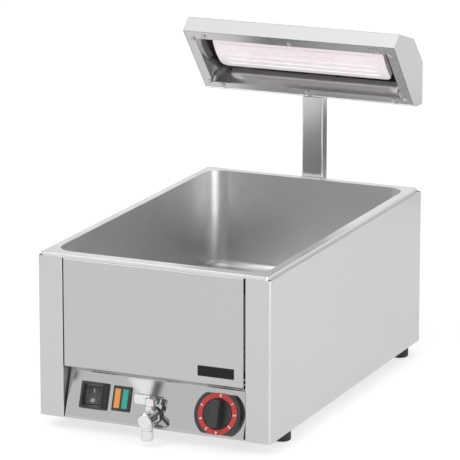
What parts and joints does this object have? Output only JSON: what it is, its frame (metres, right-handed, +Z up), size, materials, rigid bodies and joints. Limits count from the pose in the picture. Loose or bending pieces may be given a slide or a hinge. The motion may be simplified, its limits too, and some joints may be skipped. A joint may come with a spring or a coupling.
{
  "type": "chip warmer",
  "caption": "Counter-top chip warmer with a drained steel well and a ceramic heat lamp hood on a rear column.",
  "frame": {"origin": "on the table, under the middle of the whole appliance", "axes": "+Z up; the control panel faces -Y and the column stands at +Y; +X is to the right seen from the front"},
  "size_m": [0.34, 0.5932, 0.4819],
  "materials": {
    "casing_steel": "satin, fine vertical grain",
    "tank_steel": "satin, pressed",
    "hood_steel": "satin, grain along the hood",
    "bright_reflector": "polished",
    "chromed_brass": "polished plating",
    "bare_brass": "turned",
    "screw_steel": "bright",
    "heater_sheath": "dull, heat stained",
    "black_rubber": "matt",
    "lead_sheath": "silicone sheath",
    "black_plastic": "semi-matt moulded",
    "grey_plastic": "moulded",
    "shaft_steel": "turned",
    "red_plastic": "printed gloss",
    "amber_plastic": "translucent amber",
    "green_plastic": "translucent green",
    "clear_plastic": "clear flexible cover",
    "white_ceramic": "satin white glaze",
    "seat_plastic": "white sealing plastic",
    "mineral_wool": "fibrous"
  },
  "bodies": {
    "casing": {"base_plate": "casing_steel", "cable_gland": "black_plastic", "ceramic_emitter": "white_ceramic", "column": "hood_steel", "column_cap": "hood_steel", "column_plug": "black_plastic", "dial_ring": "red_plastic", "drain_gasket": "black_rubber", "drain_locknut": "bare_brass", "drain_pipe": "bare_brass", "drain_spud": "bare_brass", "emitter_clip": "screw_steel", "feet": "black_rubber", "foot_screws": "screw_steel", "front_panel": "casing_steel", "gland_locknut": "black_plastic", "green_lens": "green_plastic", "heater_clamps": "screw_steel", "hood_end_left": "hood_steel", "hood_end_right": "hood_steel", "hood_lead": "lead_sheath", "hood_screws": "screw_steel", "hood_shell": "hood_steel", "hood_strip_bottom": "hood_steel", "hood_strip_left": "hood_steel", "hood_strip_right": "hood_steel", "hood_strip_screws": "screw_steel", "hood_strip_top": "hood_steel", "knob_bezel": "black_plastic", "lead_grommet": "black_rubber", "orange_lens": "amber_plastic", "pilot_frame": "black_plastic", "pipe_locknut": "bare_brass", "pipe_washer": "black_rubber", "rear_panel": "casing_steel", "rear_screws": "screw_steel", "reflector": "bright_reflector", "side_panel_left": "casing_steel", "side_panel_right": "casing_steel", "switch_body": "grey_plastic", "switch_cover": "clear_plastic", "switch_frame": "black_plastic", "tank_heater": "heater_sheath", "tap_body": "chromed_brass", "tap_front_cap": "chromed_brass", "tap_gasket": "black_rubber", "tap_nozzle": "chromed_brass", "tap_packing_nut": "chromed_brass", "tap_seats": "seat_plastic", "terminal_blocks": "grey_plastic", "thermostat_body": "grey_plastic", "thermostat_bulb": "heater_sheath", "well_insulation": "mineral_wool", "well_tank": "tank_steel"},
    "knob": {"control_knob": "black_plastic", "thermostat_shaft": "shaft_steel"},
    "rocker": {"switch_rocker": "black_plastic"},
    "tap_valve": {"tap_ball": "chromed_brass", "tap_stem": "chromed_brass", "tap_lever": "chromed_brass"}
  },
  "joints": [
    {"name": "knob_turn", "type": "hinge", "parent": "casing", "child": "knob", "pos_m": [0.093, -0.26209, 0.04899], "axis": [0, -0.9462, 0.3235], "range_deg": [-270, 0]},
    {"name": "rocker_tilt", "type": "hinge", "parent": "casing", "child": "rocker", "pos_m": [-0.091, -0.26071, 0.05148], "axis": [1, 0, 0], "range_deg": [0, 16]},
    {"name": "tap_lever_turn", "type": "hinge", "parent": "casing", "child": "tap_valve", "pos_m": [0, -0.27615, 0.0365], "axis": [0, 0, 1], "range_deg": [0, 90]}
  ]
}
